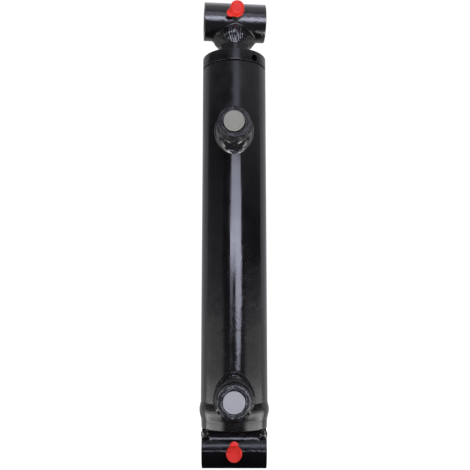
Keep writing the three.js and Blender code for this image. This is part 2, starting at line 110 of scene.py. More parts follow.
barrel_low, barrel_high, _ = box("barrel_tube")
gland_low, gland_high, _ = box("gland")
cap_low, cap_high, _ = box("base_cap")
base_tube_high = box("base_cross_tube")[1]
rod_low, rod_high, _ = box("piston_rod")
rod_port_low, _, rod_port_mid = box("rod_port_boss")
rod_mount = next(m for m in frame["record"]["mounts"] if m["name"] == "rod_tube_right_face")

BARREL_R = barrel_high.x
BORE_R = 25.4 * MM
IN_BORE_R = BORE_R - 0.3 * MM
SEAM_Z = barrel_high.z
GLAND_TOP_Z = gland_high.z
CAP_R = cap_high.x
CAP_Z = cap_low.z
TUBE_R = base_tube_high.z
PIN_BORE_R = 12.9 * MM
ROD_R = (rod_high.x - rod_low.x) / 2
PIN_TO_PIN = box("rod_cross_tube")[2].z
ROD_TURN = math.atan2(rod_mount["axis"][1], rod_mount["axis"][0])
ROD_TUBE_HALF = math.hypot(rod_mount["pos_m"][0], rod_mount["pos_m"][1])
BOSS_R = 15 * MM
BOSS_FACE = -rod_port_low.y
ROD_PORT_Z = rod_port_mid.z
BASE_PORT_Z = box("base_port_boss")[2].z
PORT_R = 9.1 * MM
PASSAGE_R = 6 * MM
BASE_FITTING_Z = box("base_grease_fitting_body")[2].z

TURNED = turned_by(ROD_TURN)
AT_ROD_PIN = TURNED @ raised(PIN_TO_PIN)

# ---- Mesh tools ----


def bezier(t, start, bend, end):
    """The point at t, from 0 to 1, on the curve from start to end that is drawn towards bend."""
    return (1 - t) ** 2 * start + 2 * t * (1 - t) * bend + t ** 2 * end


def bell(apart, width):
    """1 where apart is 0, falling away smoothly over that width."""
    return math.exp(-((apart / width) ** 2))


def uneven(x, y, z):
    """Smooth unevenness from about -1 to 1, the same each run; its lumps are about 1 across."""
    return noise.noise(Vector((x, y, z)))


def round_angles(count):
    return [2 * math.pi * k / count for k in range(count)]


def rounded(outline, radius, steps=4):
    """The outline of (r, z) points with its corners off the axis rounded, as far as their sides allow."""
    points = [Vector(p) for p in outline]
    count = len(points)
    result = []
    for i, corner in enumerate(points):
        if corner.x == 0:
            result.append(corner)
            continue
        before = points[i - 1] - corner
        after = points[(i + 1) % count] - corner
        turn = math.pi - before.angle(after)
        if turn < math.radians(4):
            result.append(corner)
            continue
        reach = min(radius * math.tan(turn / 2), before.length * 0.45, after.length * 0.45)
        start = corner + before.normalized() * reach
        end = corner + after.normalized() * reach
        result += [bezier(k / steps, start, corner, end) for k in range(steps + 1)]
    return [(p.x, p.y) for p in result]


def turned(outline, segments=SEGMENTS):
    """A bmesh of the outline turned round Z. The outline is a loop, or it starts and ends on the axis."""
    bm = bmesh.new()
    rings = []
    angles = round_angles(segments)
    for r, z in outline:
        if r == 0:
            rings.append([bm.verts.new((0, 0, z))])
            continue
        rings.append([bm.verts.new((r * math.cos(a), r * math.sin(a), z)) for a in angles])
    pairs = list(zip(rings, rings[1:]))
    if outline[0][0] > 0:
        pairs.append((rings[-1], rings[0]))
    for low, high in pairs:
        join_rings(bm, low, high, segments)
    bmesh.ops.recalc_face_normals(bm, faces=bm.faces)
    return bm


def lathed(outline, radius, segments=SEGMENTS):
    """The outline turned round Z, with its corners rounded to that radius."""
    return turned(rounded(outline, radius), segments)


def join_rings(bm, low, high, segments):
    """Faces between two rings of vertices; a ring of one vertex is a point on the axis."""
    for k in range(segments):
        n = (k + 1) % segments
        corners = [low[k % len(low)], low[n % len(low)], high[n % len(high)], high[k % len(high)]]
        bm.faces.new(dict.fromkeys(corners))


def skin(rows, ends_meet=True):
    """A bmesh from rows of points, each row a loop. The end rows meet, or each is closed by a face."""
    bm = bmesh.new()
    rings = [[bm.verts.new(p) for p in row] for row in rows]
    for low, high in zip(rings, rings[1:]):
        join_rings(bm, low, high, len(low))
    if ends_meet:
        join_rings(bm, rings[-1], rings[0], len(rings[0]))
    else:
        bm.faces.new(rings[0])
        bm.faces.new(rings[-1])
    bmesh.ops.recalc_face_normals(bm, faces=bm.faces)
    return bm


def smooth(mesh):
    """Smooth shading, but for the sharp edges."""
    mesh.polygons.foreach_set("use_smooth", [True] * len(mesh.polygons))
    mesh.set_sharp_from_angle(angle=SHARP_ANGLE)


def piece_of(bm, material, place=UNMOVED, name="piece"):
    """An object from a bmesh, which is used up."""
    mesh = bpy.data.meshes.new(name)
    bmesh.ops.transform(bm, matrix=place, verts=bm.verts)
    bm.to_mesh(mesh)
    bm.free()
    smooth(mesh)
    mesh.materials.append(material)
    piece = bpy.data.objects.new(name, mesh)
    bpy.context.scene.collection.objects.link(piece)
    return piece


def mend(mesh):
    """Takes out the slivers that a boolean leaves, and splits its many-sided faces evenly."""
    bm = bmesh.new()
    bm.from_mesh(mesh)
    bmesh.ops.dissolve_degenerate(bm, dist=SLIVER, edges=bm.edges)
    many_sided = [f for f in bm.faces if len(f.verts) > 4]
    bmesh.ops.triangulate(bm, faces=many_sided, ngon_method="BEAUTY")
    bm.to_mesh(mesh)
    bm.free()


def combined(piece, tool, operation):
    """The piece after a boolean with the tool, which is used up."""
    modifier = piece.modifiers.new("boolean", "BOOLEAN")
    modifier.operation = operation
    modifier.solver = "EXACT"
    modifier.object = tool
    depsgraph = bpy.context.evaluated_depsgraph_get()
    mesh = bpy.data.meshes.new_from_object(piece.evaluated_get(depsgraph))
    piece.modifiers.clear()
    mend(mesh)
    smooth(mesh)
    piece.data = mesh
    bpy.data.objects.remove(tool)
    return piece


def bar(radius, z0, z1, segments=FINE_SEGMENTS):
    """A solid round bar, or a prism when its segments are few, from z0 to z1."""
    return turned([(0, z0), (radius, z0), (radius, z1), (0, z1)], segments)


def drilled(piece, bit, place=UNMOVED):
    """The piece less the bit, which is turned a little so that its corners miss the piece's own."""
    place = place @ turned_by(BIT_TURN)
    return combined(piece, piece_of(bit, piece.data.materials[0], place), "DIFFERENCE")


NODE_BODY = {n: body for body, nodes in frame["record"]["behaviour"]["bodies"].items() for n in nodes}


def stand_for(piece, node):
    """The piece takes the place of a CAD node, is named after it and moves with its body."""
    piece.name = piece.data.name = node + "_fine"
    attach(piece, NODE_BODY[node])
    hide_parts(node)
    return piece


# ---- Materials ----


class Nodes:
    """Helpers that add nodes to a node tree, fed by numbers or by other nodes' sockets."""

    def __init__(self, tree):
        self.tree = tree

    def add(self, kind, inputs=None, **settings):
        node = self.tree.nodes.new(kind)
        for key, value in settings.items():
            setattr(node, key, value)
        for key, value in (inputs or {}).items():
            if isinstance(value, bpy.types.NodeSocket):
                self.tree.links.new(value, node.inputs[key])
            else:
                node.inputs[key].default_value = value
        return node

    def math(self, operation, a, b=0.0):
        return self.add("ShaderNodeMath", {0: a, 1: b}, operation=operation).outputs[0]

    def plus(self, a, b):
        return self.math("ADD", a, b)

    def minus(self, a, b):
        return self.math("SUBTRACT", a, b)

    def times(self, a, b):
        return self.math("MULTIPLY", a, b)

    def larger(self, a, b):
        return self.math("MAXIMUM", a, b)

    def length(self, x, y):
        return self.math("SQRT", self.plus(self.times(x, x), self.times(y, y)))

    def bearing(self, x, y):
        """y over |x|, which grows from the front round to the back: 0.32 is 108 degrees from the front."""
        return self.math("DIVIDE", y, self.larger(self.math("ABSOLUTE", x), 0.001))

    def ramp(self, value, low, high, to_low=0.0, to_high=1.0, shape="SMOOTHSTEP"):
        """value mapped from low..high onto to_low..to_high, and clamped."""
        if low > high:
            low, high, to_low, to_high = high, low, to_high, to_low
        inputs = {"Value": value, "From Min": low, "From Max": high, "To Min": to_low, "To Max": to_high}
        return self.add("ShaderNodeMapRange", inputs, interpolation_type=shape).outputs["Result"]


class Shader(Nodes):
    """A material in the making: Principled BSDF in the object's own coordinates."""

    def __init__(self, name, **constants):
        self.material = bpy.data.materials.new(name)
        self.material.use_nodes = True
        super().__init__(self.material.node_tree)
        self.bsdf = self.tree.nodes["Principled BSDF"]
        self.place = self.add("ShaderNodeTexCoord").outputs["Object"]
        for key, value in constants.items():
            self.bsdf.inputs[key.replace("_", " ").title().replace("Ior", "IOR")].default_value = value

    def axis(self, letter):
        """One of the object's own coordinates."""
        return self.add("ShaderNodeSeparateXYZ", {"Vector": self.place}).outputs[letter]

    def stretched(self, x, y, z):
        """The object's own coordinates, scaled along each axis."""
        inputs = {"Vector": self.place, "Scale": (x, y, z)}
        return self.add("ShaderNodeMapping", inputs).outputs["Vector"]

    def noise(self, size, detail=3.0, vector=None):
        """Cloudy noise whose features are about that size in metres."""
        inputs = {"Vector": vector or self.place, "Scale": 1 / size, "Detail": detail}
        return self.add("ShaderNodeTexNoise", inputs).outputs["Fac"]

    def streaks(self, detail, across, along):
        """Noise drawn out round the Z axis: how fast it changes per metre across and along that axis."""
        return self.noise(1.0, detail, self.stretched(across, across, along))

    def specks(self, spacing, radius):
        """1 inside round specks of that radius, one in each cell of that spacing."""
        inputs = {"Vector": self.place, "Scale": 1 / spacing}
        distance = self.add("ShaderNodeTexVoronoi", inputs).outputs["Distance"]
        return self.ramp(distance, radius / spacing, 0.0, 0.0, 1.0)

    def mix(self, factor, a, b):
        """A colour between a and b; each is a colour socket or three numbers."""
        first, second = (c if isinstance(c, bpy.types.NodeSocket) else (*c, 1) for c in (a, b))
        return self.add("ShaderNodeMix", {0: factor, 6: first, 7: second}, data_type="RGBA").outputs[2]

    def colour(self, socket):
        self.tree.links.new(socket, self.bsdf.inputs["Base Color"])

    def roughness(self, socket):
        self.tree.links.new(socket, self.bsdf.inputs["Roughness"])

    def bump(self, height, depth):
        """Adds a layer of relief: height from 0 to 1 stands for that depth in metres."""
        links = self.bsdf.inputs["Normal"].links
        inputs = {"Height": height, "Distance": depth, "Strength": 1.0}
        if links:
            inputs["Normal"] = links[0].from_socket
        normal = self.add("ShaderNodeBump", inputs).outputs["Normal"]
        self.tree.links.new(normal, self.bsdf.inputs["Normal"])


def dusted(shader, heights, colour, roughness):
    """The paint's colour and roughness where dust lightens and dulls it; it is drawn into faint lines."""
    patches = shader.ramp(shader.noise(2.5 * MM), 0.2, 0.6, 0.6, 1.0)
    dust = shader.times(shader.ramp(shader.axis("Z"), *heights), patches)
    speckle = shader.ramp(shader.noise(1.3 * MM, 2.0), 0.38, 0.62)
    dusty = shader.mix(speckle, (0.003, 0.003, 0.0029), (0.014, 0.0138, 0.013))
    shader.bump(shader.times(shader.streaks(2.0, 60, 1400), dust), 0.05 * MM)
    return shader.mix(dust, colour, dusty), shader.plus(roughness, shader.times(dust, 0.08))


def hazed(shader, heights, cloud, roughness):
    """The paint's roughness where haze dulls its gloss."""
    haze = shader.times(shader.ramp(shader.axis("Z"), *heights), shader.ramp(cloud, 0.3, 0.6, 0.7, 1.0))
    return shader.plus(roughness, shader.times(haze, 0.15))


def with_painted_glints_and_scuffs(shader, cloud, colour):
    """The paint's colour with grey patches: painted glints of the weld, along with scuff marks."""
    # The grey patches are painted highlights for the weld's glints, along with scuff marks.
    glints_and_scuffs = shader.times(shader.ramp(shader.noise(1.5 * MM), 0.6, 0.7), shader.ramp(cloud, 0.42, 0.6))
    return shader.mix(glints_and_scuffs, colour, (0.10, 0.10, 0.103))


def flecked_with_glints(shader, heights, colour):
    """The paint's colour with pale flecks in patches: painted orange-peel glints, along with dry
    overspray.
    """
    # The pale flecks are painted highlights: glints of the orange peel, along with dry overspray.
    flecks = shader.ramp(shader.noise(1.7 * MM, 1.0), 0.55, 0.68)
    flecks = shader.times(flecks, shader.ramp(shader.noise(9 * MM, 2.0), 0.48, 0.62))
    flecks = shader.times(flecks, shader.ramp(shader.axis("Z"), *heights))
    return shader.mix(flecks, colour, (0.022, 0.0216, 0.0205))


def add_grain(shader, heights):
    """Relief of dry overspray in patches."""
    patches = shader.ramp(shader.noise(17 * MM, 2.0), 0.5, 0.62)
    patches = shader.times(patches, shader.ramp(shader.axis("Z"), *heights))
    shader.bump(shader.times(shader.noise(1.1 * MM, 2.0), patches), 0.08 * MM)


def black_paint(
    name,
    rough=0.12,
    gloss=0.5,
    turned_marks=0.0,
    lumpy=0.0,
    glinted_and_scuffed=False,
    dusty_below=None,
    grain_and_glints_below=None,
    hazy_above=None,
):
    """Gloss black enamel over steel: faint waves, orange peel and a few dust nibs.

    turned_marks and lumpy are depths of relief. Each of dusty_below, grain_and_glints_below and hazy_above gives two
    heights, and its effect grows from the first to the second.
    """
    shader = Shader(name, specular_ior_level=gloss)
    cloud = shader.noise(14 * MM)
    roughness = shader.ramp(cloud, 0.3, 0.75, rough * 0.8, rough * 1.35)
    colour = shader.mix(cloud, (0.0035, 0.0035, 0.0038), (0.0075, 0.0075, 0.0080))
    if dusty_below:
        colour, roughness = dusted(shader, dusty_below, colour, roughness)
    if hazy_above:
        roughness = hazed(shader, hazy_above, cloud, roughness)
    # Grey patches paint the weld's glints, along with scuff marks.
    if glinted_and_scuffed:
        colour = with_painted_glints_and_scuffs(shader, cloud, colour)
    # Pale flecks low on the barrel paint orange-peel glints, along with dry overspray.
    if grain_and_glints_below:
        colour = flecked_with_glints(shader, grain_and_glints_below, colour)
    shader.colour(colour)
    shader.roughness(roughness)
    shader.bump(shader.noise(34 * MM, 1.0), 0.2 * MM)
    shader.bump(shader.noise(3.2 * MM, 2.0), 0.014 * MM)
    shader.bump(shader.specks(9 * MM, 0.5 * MM), 0.06 * MM)
    if grain_and_glints_below:
        add_grain(shader, grain_and_glints_below)
    if turned_marks:
        shader.bump(shader.streaks(1.0, 40, 1500), turned_marks)
        shader.bump(shader.streaks(1.0, 30, 420), turned_marks * 2)
    if lumpy:
        shader.bump(shader.noise(5 * MM, 3.0), lumpy)
        shader.bump(shader.noise(1.4 * MM, 2.0), lumpy)
    return shader.material


def boss_paint(name, port_z, scrape, gloss):
    """Thin black enamel over a turned boss, scraped to a grey of that value in rings round the port."""
    shader = Shader(name, specular_ior_level=gloss)
    cloud = shader.noise(6 * MM)
    shader.roughness(shader.ramp(cloud, 0.3, 0.7, 0.24, 0.38))
    x = shader.axis("X")
    radius = shader.length(x, shader.minus(shader.axis("Z"), port_z))
    inputs = {"X": radius, "Y": shader.axis("Y"), "Z": shader.times(x, 0.3)}
    around = shader.add("ShaderNodeCombineXYZ", inputs).outputs[0]
    rings = shader.noise(1.3 * MM, 1.5, around)
    specks = shader.ramp(shader.noise(1.1 * MM, 1.0), 0.4, 0.6, 0.2, 1.5)
    scraped = shader.times(shader.ramp(rings, 0.48, 0.58), shader.ramp(cloud, 0.35, 0.6, 0.3, 1.0))
    scraped = shader.times(scraped, specks)
    shader.colour(shader.mix(scraped, (0.006, 0.006, 0.0065), (scrape, scrape, scrape * 1.04)))
    shader.bump(rings, 0.3 * MM)
    shader.bump(shader.noise(3 * MM, 2.0), 0.06 * MM)
    return shader.material


def rod_surface(name):
    """Hard chrome, with the black overspray that the short length outside the gland caught."""
    shader = Shader(name, specular_ior_level=0.5)
    height = shader.axis("Z")
    ragged = shader.plus(height, shader.times(shader.noise(6 * MM), 1.2 * MM))
    painted = shader.ramp(ragged, GLAND_TOP_Z - 0.4 * MM, GLAND_TOP_Z + 0.4 * MM)
    polish = shader.streaks(2.0, 90, 2600)
    chrome = shader.mix(shader.noise(20 * MM), (0.60, 0.61, 0.63), (0.68, 0.69, 0.70))
    shader.colour(shader.mix(painted, chrome, (0.009, 0.009, 0.010)))
    bright = shader.ramp(polish, 0.3, 0.7, 0.07, 0.14)
    shader.roughness(shader.plus(bright, shader.times(painted, 0.12)))
    metal = shader.ramp(painted, 0.0, 1.0, 1.0, 0.0)
    shader.tree.links.new(metal, shader.bsdf.inputs["Metallic"])
    shader.bump(polish, 0.004 * MM)
    return shader.material


def steel(name, dark, light, rough, marks=(120, 120, 2200), depth=0.012):
    """Bare steel with machining marks: marks is how fast they change along X, Y and Z; depth is in mm."""
    shader = Shader(name, metallic=1.0)
    grain = shader.noise(1.0, 3.0, shader.stretched(*marks))
    shader.colour(shader.mix(shader.noise(4 * MM), dark, light))
    shader.roughness(shader.ramp(grain, 0.25, 0.75, rough * 0.75, rough * 1.3))
    shader.bump(grain, depth * MM)
    return shader.material


def cast_iron(name):
    """Machined ductile iron, darker and coarser than steel."""
    shader = Shader(name, metallic=1.0)
    grain = shader.noise(0.9 * MM, 5.0)
    shader.colour(shader.mix(grain, (0.13, 0.13, 0.135), (0.24, 0.24, 0.25)))
    shader.roughness(shader.ramp(grain, 0.3, 0.7, 0.38, 0.6))
    shader.bump(shader.streaks(2.0, 80, 2400), 0.02 * MM)
    return shader.material


def soft_solid(name, dark, light, rough, grain_size, depth):
    """Rubber or plastic of slightly uneven colour, with an even grain of that size and depth in mm."""
    shader = Shader(name, specular_ior_level=0.4)
    shader.colour(shader.mix(shader.noise(5 * MM), dark, light))
    shader.roughness(shader.ramp(shader.noise(grain_size * MM), 0.3, 0.7, rough * 0.85, rough * 1.15))
    shader.bump(shader.noise(grain_size * MM, 4.0), depth * MM)
    return shader.material


def plug_plastic(name, dark, light):
    """Grey moulded polyethylene, waxy and faintly mottled."""
    shader = Shader(name, specular_ior_level=0.35)
    mottle = shader.noise(2.2 * MM, 4.0)
    shader.colour(shader.mix(mottle, dark, light))
    shader.roughness(shader.ramp(shader.noise(3 * MM), 0.3, 0.7, 0.42, 0.6))
    shader.bump(shader.noise(0.7 * MM, 3.0), 0.02 * MM)
    return shader.material


def cap_plastic(name):
    """Red moulded vinyl, faintly mottled."""
    shader = Shader(name, specular_ior_level=0.3)
    mottle = shader.noise(3 * MM, 3.0)
    shader.colour(shader.mix(mottle, (0.76, 0.026, 0.016), (0.94, 0.044, 0.029)))
    shader.roughness(shader.ramp(mottle, 0.3, 0.7, 0.3, 0.42))
    shader.bump(shader.noise(1.1 * MM, 3.0), 0.03 * MM)
    return shader.material


DUSTY_BELOW = (62 * MM, 36 * MM)
# Heights over which the barrel gains grain relief and pale flecks that paint orange-peel glints.
GRAIN_AND_GLINTS_BELOW = (230 * MM, 150 * MM)
HAZY_ABOVE = (298 * MM, 318 * MM)
BARREL_PAINT = black_paint(
    "barrel_paint", dusty_below=DUSTY_BELOW, grain_and_glints_below=GRAIN_AND_GLINTS_BELOW, hazy_above=HAZY_ABOVE
)
CAP_PAINT = black_paint("cap_paint", gloss=0.36, turned_marks=0.04 * MM, dusty_below=DUSTY_BELOW)
TUBE_PAINT = black_paint("tube_paint", gloss=0.7, lumpy=0.12 * MM)
BASE_TUBE_PAINT = black_paint("base_tube_paint", rough=0.2, gloss=0.22, lumpy=0.08 * MM)
# This weld paint carries grey patches that paint its glints, along with scuff marks.
WELD_PAINT = black_paint("weld_paint", lumpy=0.09 * MM, glinted_and_scuffed=True)
SMOOTH_WELD_PAINT = black_paint("smooth_weld_paint", rough=0.1, gloss=0.35, lumpy=0.06 * MM)
WET_WELD_PAINT = black_paint("wet_weld_paint", rough=0.08, gloss=1.0, lumpy=0.03 * MM)
GLAND_PAINT = black_paint("gland_paint", rough=0.24, turned_marks=0.02 * MM)
ROD_SURFACE = rod_surface("rod_surface")
MACHINED = steel("machined_steel", (0.40, 0.41, 0.42), (0.55, 0.56, 0.57), 0.32)
PLATED = steel("zinc_plated_steel", (0.52, 0.50, 0.42), (0.66, 0.65, 0.58), 0.3, (900, 900, 900), 0.02)
BALL_STEEL = steel("ball_steel", (0.60, 0.60, 0.61), (0.68, 0.68, 0.69), 0.08, (1500, 1500, 1500), 0.001)
IRON = cast_iron("ductile_iron")
RUBBER = soft_solid("nitrile_rubber", (0.012, 0.012, 0.012), (0.022, 0.022, 0.022), 0.6, 0.5, 0.02)
URETHANE = soft_solid("seal_urethane", (0.03, 0.15, 0.11), (0.045, 0.2, 0.15), 0.4, 0.8, 0.01)
NYLON = soft_solid("guide_band_nylon", (0.15, 0.08, 0.045), (0.21, 0.12, 0.065), 0.5, 0.6, 0.02)
SEAL_PLASTIC = soft_solid("white_seal_plastic", (0.62, 0.59, 0.5), (0.72, 0.69, 0.6), 0.45, 0.7, 0.01)
# The upper plug's warm tint is a painted reflection of warm light; the lower plug's colour is cooler and
# lighter.
PLUG_WITH_WARM_REFLECTION = plug_plastic("grey_plug_plastic_painted_warm", (0.262, 0.260, 0.212), (0.318, 0.316, 0.262))
COOL_PLUG = plug_plastic("cool_grey_plug_plastic", (0.355, 0.360, 0.366), (0.410, 0.415, 0.422))
RED = cap_plastic("red_cap_plastic")

# ---- Barrel, base cap and gland ----

WELD_ROOT_Z = barrel_low.z
SEAM_GAP = 1.3 * MM
SEAM_LOW_Z = SEAM_Z - 0.3 * MM
THREAD_R = 28.2 * MM
THREAD_Z = 341 * MM


def barrel_tube():
    weld_root_r = 27.4 * MM
    outline = [
        (BORE_R, WELD_ROOT_Z),
        (weld_root_r, WELD_ROOT_Z),
        (BARREL_R, WELD_ROOT_Z + 4.8 * MM),
        (BARREL_R, SEAM_LOW_Z),
        (THREAD_R, SEAM_LOW_Z),
        (THREAD_R, THREAD_Z),
        (BORE_R, THREAD_Z - 1.5 * MM),
    ]
    tube = piece_of(lathed(outline, 0.35 * MM), BARREL_PAINT)
    for port_z in (BASE_PORT_Z, ROD_PORT_Z):
        bit = bar(PASSAGE_R, BORE_R / 2, BARREL_R * 1.2)
        drilled(tube, bit, raised(port_z) @ ALONG_FRONT)
    return tube


def base_cap():
    """The cap that closes the barrel's base, cut to sit on the cross tube."""
    weld_root_r = 27 * MM
    outline = [
        (0, CAP_Z),
        (CAP_R - 0.4 * MM, CAP_Z),
        (CAP_R, WELD_ROOT_Z - 7.4 * MM),
        (CAP_R, WELD_ROOT_Z - 4.4 * MM),
        (weld_root_r, WELD_ROOT_Z - 0.3 * MM),
        (IN_BORE_R, WELD_ROOT_Z - 0.3 * MM),
        (IN_BORE_R, cap_high.z),
        (0, cap_high.z),
    ]
    cap = piece_of(lathed(outline, 0.9 * MM), CAP_PAINT)
    saddle = bar(TUBE_R + 0.2 * MM, -CAP_R * 1.2, CAP_R * 1.2, SEGMENTS)
    return drilled(cap, saddle, ALONG_X)


def gland():
    """The gland, with its grooves: O-ring outside, then guide band, rod seal and wiper inside."""
    bore_r = ROD_R + 0.35 * MM
    o_ring_low, o_ring_high = 325.5 * MM, 331.5 * MM
    band_low, band_high = 337 * MM, 352 * MM
    seal_low, seal_high = 360.5 * MM, 367.5 * MM
    wiper_low = 376 * MM
    nose_r, nose_z = 20 * MM, 318 * MM
    o_ring_groove_r, band_groove_r = 22.4 * MM, 18.5 * MM
    seal_groove_r, wiper_groove_r = 20.6 * MM, 20 * MM
    outline = [
        (bore_r, gland_low.z),
        (nose_r, gland_low.z),
        (nose_r, nose_z),
        (IN_BORE_R, nose_z),
        (IN_BORE_R, o_ring_low),
        (o_ring_groove_r, o_ring_low),
        (o_ring_groove_r, o_ring_high),
        (IN_BORE_R, o_ring_high),
        (IN_BORE_R, THREAD_Z),
        (THREAD_R - 0.3 * MM, THREAD_Z + 2 * MM),
        (THREAD_R - 0.3 * MM, SEAM_LOW_Z + SEAM_GAP),
        (BARREL_R, SEAM_LOW_Z + SEAM_GAP),
        (BARREL_R, GLAND_TOP_Z),
        (wiper_groove_r, GLAND_TOP_Z),
        (wiper_groove_r, wiper_low),
        (bore_r, wiper_low),
        (bore_r, seal_high),
        (seal_groove_r, seal_high),
        (seal_groove_r, seal_low),
        (bore_r, seal_low),
        (bore_r, band_high),
        (band_groove_r, band_high),
        (band_groove_r, band_low),
        (bore_r, band_low),
    ]
    body = piece_of(lathed(outline, 0.45 * MM), GLAND_PAINT)
    hole_r, hole_z, hole_bottom = 3.4 * MM, 374.2 * MM, 22.3 * MM
    first_hole = math.radians(39)
    for angle in (first_hole, first_hole + math.pi):
        place = turned_by(angle) @ raised(hole_z) @ ALONG_FRONT
        drilled(body, bar(hole_r, hole_bottom, BARREL_R * 1.2), place)
    return body


stand_for(barrel_tube(), "barrel_tube")
stand_for(base_cap(), "base_cap")
stand_for(gland(), "gland")

# ---- Cross tubes ----


def cross_tube(half, place, fitting_z, paint, run_angle=None):
    """A heavy tube along X in slightly uneven paint, which has run along the tube's front at run_angle."""
    cells = 76
    fitting_hole_r = 5.2 * MM
    wall = [(TUBE_R, half * (2 * k / cells - 1)) for k in range(cells + 1)]
    bm = lathed([(PIN_BORE_R, -half), *wall, (PIN_BORE_R, half)], 1.1 * MM, 2 * SEGMENTS)
    for vertex in bm.verts:
        across, depth, along = vertex.co
        if math.hypot(across, depth) < TUBE_R - 0.4 * MM:
            continue
        lump = 0.05 * MM * uneven(*(vertex.co / (4 * MM)))
        if run_angle is not None:
            angle = math.atan2(-across, -depth) - run_angle
            sway = 0.03 * uneven(along / (6 * MM), 2.0, 0.0)
            beads = 0.6 + 1.2 * uneven(along / (1.7 * MM), 5.0, 0.0)
            lump += 0.6 * MM * beads * bell(angle + sway, 0.055)
        vertex.co.x *= 1 + lump / TUBE_R
        vertex.co.y *= 1 + lump / TUBE_R
    tube = piece_of(bm, paint, place @ ALONG_X)
    bit = bar(fitting_hole_r, PIN_BORE_R / 2, TUBE_R * 1.2)
    return drilled(tube, bit, place @ raised(fitting_z) @ ALONG_FRONT)


base_tube = cross_tube(base_tube_high.x, UNMOVED, BASE_FITTING_Z, BASE_TUBE_PAINT, math.radians(-4))
stand_for(base_tube, "base_cross_tube")
stand_for(cross_tube(ROD_TUBE_HALF, AT_ROD_PIN, 0, TUBE_PAINT), "rod_cross_tube")

# ---- Weld beads ----

WELD_COLUMNS = 300
RIPPLE_PITCH = 2.4 * MM


def ripple(along, across, seed):
    """The height of a weld's surface detail, from about -1 to 1: curved ripples broken up by lumps."""
    phase = 2 * math.pi * (along / RIPPLE_PITCH + 0.9 * math.sin(math.pi * across))
    lump = uneven(along / (6 * MM), across * 1.6, seed)
    drift = uneven(along / (11 * MM), 4.0, seed)
    return 0.45 * math.sin(phase + 3 * drift) + 0.9 * lump


def toe_radius(angle, side_reach, up_reach, down_reach):
    """How far a port weld's toe is from the port's axis: an oval, drawn in a little towards its top.

    The angle is measured from +X towards +Z.
    """
    c, s = abs(math.cos(angle)), math.sin(angle)
    power = 1.75 if s > 0 and up_reach > 1.2 * side_reach else 2.0
    reach = up_reach if s > 0 else down_reach
    return ((c / side_reach) ** power + (abs(s) / reach) ** power) ** (-1 / power)


def fullness(angle, beads):
    """How full a port weld is at the angle, from 0 to 1.

    Each bead has the angle of its middle and its width, in degrees, and how full it is.
    """
    full = 0.0
    for middle, width, most in beads:
        apart = (math.degrees(angle) - middle + 180) % 360 - 180
        full = max(full, most * bell(apart, width))
    return full


def port_weld(port_z, reaches, beads, seed, paint):
    """The weld round a port boss: hollow but for its beads, from the barrel up to the boss's wall."""
    steps = 30
    leg_top = BARREL_R + 6.5 * MM
    rows = [[] for _ in range(steps + 1)]
    root = []
    for angle in round_angles(WELD_COLUMNS):
        c, s = math.cos(angle), math.sin(angle)
        toe = toe_radius(angle, *reaches) + 0.45 * MM * uneven(2.5 * c, 2.5 * s, seed)
        full = fullness(angle, beads)
        for i, row in enumerate(rows):
            bend = math.pi / 2 * i / steps
            inward = math.sin(bend)
            radius = toe + (BOSS_R - toe) * inward
            x = radius * c
            on_barrel = math.sqrt(BARREL_R ** 2 - x * x)
            hollow_rise = (1 - math.cos(bend)) ** 1.1
            full_rise = 0.8 * (1 - (1 - inward) ** 2.4)
            rise = (1 - full) * hollow_rise + full * full_rise
            fillet = on_barrel + (leg_top - on_barrel) * rise
            lip = 0.7 * MM * bell(inward - 0.16, 0.1)
            wave = 0.2 * MM * ripple(angle * toe, inward, seed) * (1 - 0.6 * full)
            score = 0.32 * MM * uneven(2.6 * c, 2.6 * s, inward * 13 + seed) * (1 - 0.8 * full)
            fade = math.sin(math.pi * min(1.0, inward + 0.05)) ** 0.5 if inward < 0.95 else 0.0
            sink = 0.25 * MM if i == 0 else 0
            row.append((x, -(fillet + lip + (wave + score) * fade - sink), port_z + radius * s))
        x = BOSS_R * c
        root.append((x, 0.2 * MM - math.sqrt(BARREL_R ** 2 - x * x), port_z + BOSS_R * s))
    return piece_of(skin(rows + [root]), paint)


def girth_weld():
    """The bead that joins the barrel to its base cap."""
    low, high = WELD_ROOT_Z - 9.2 * MM, WELD_ROOT_Z + 8.2 * MM
    root_r = 28 * MM
    steps = 16
    rows = [[] for _ in range(steps + 1)]
    root = []
    for angle in round_angles(WELD_COLUMNS):
        c, s = math.cos(angle), math.sin(angle)
        wander = 0.7 * MM * uneven(3 * c, 3 * s, 1.7)
        for i, row in enumerate(rows):
            t = i / steps
            plain = CAP_R + (BARREL_R - CAP_R) * t - 0.15 * MM
            crown = 1.5 * MM * math.sin(math.pi * t) ** 1.3
            detail = 0.16 * MM * ripple(angle * BARREL_R, t, 5.0) * math.sin(math.pi * t)
            radius = plain + crown + detail
            row.append((radius * c, radius * s, low + (high - low) * t + wander))
        root.append((root_r * c, root_r * s, WELD_ROOT_Z))
    return piece_of(skin(rows + [root]), CAP_PAINT)


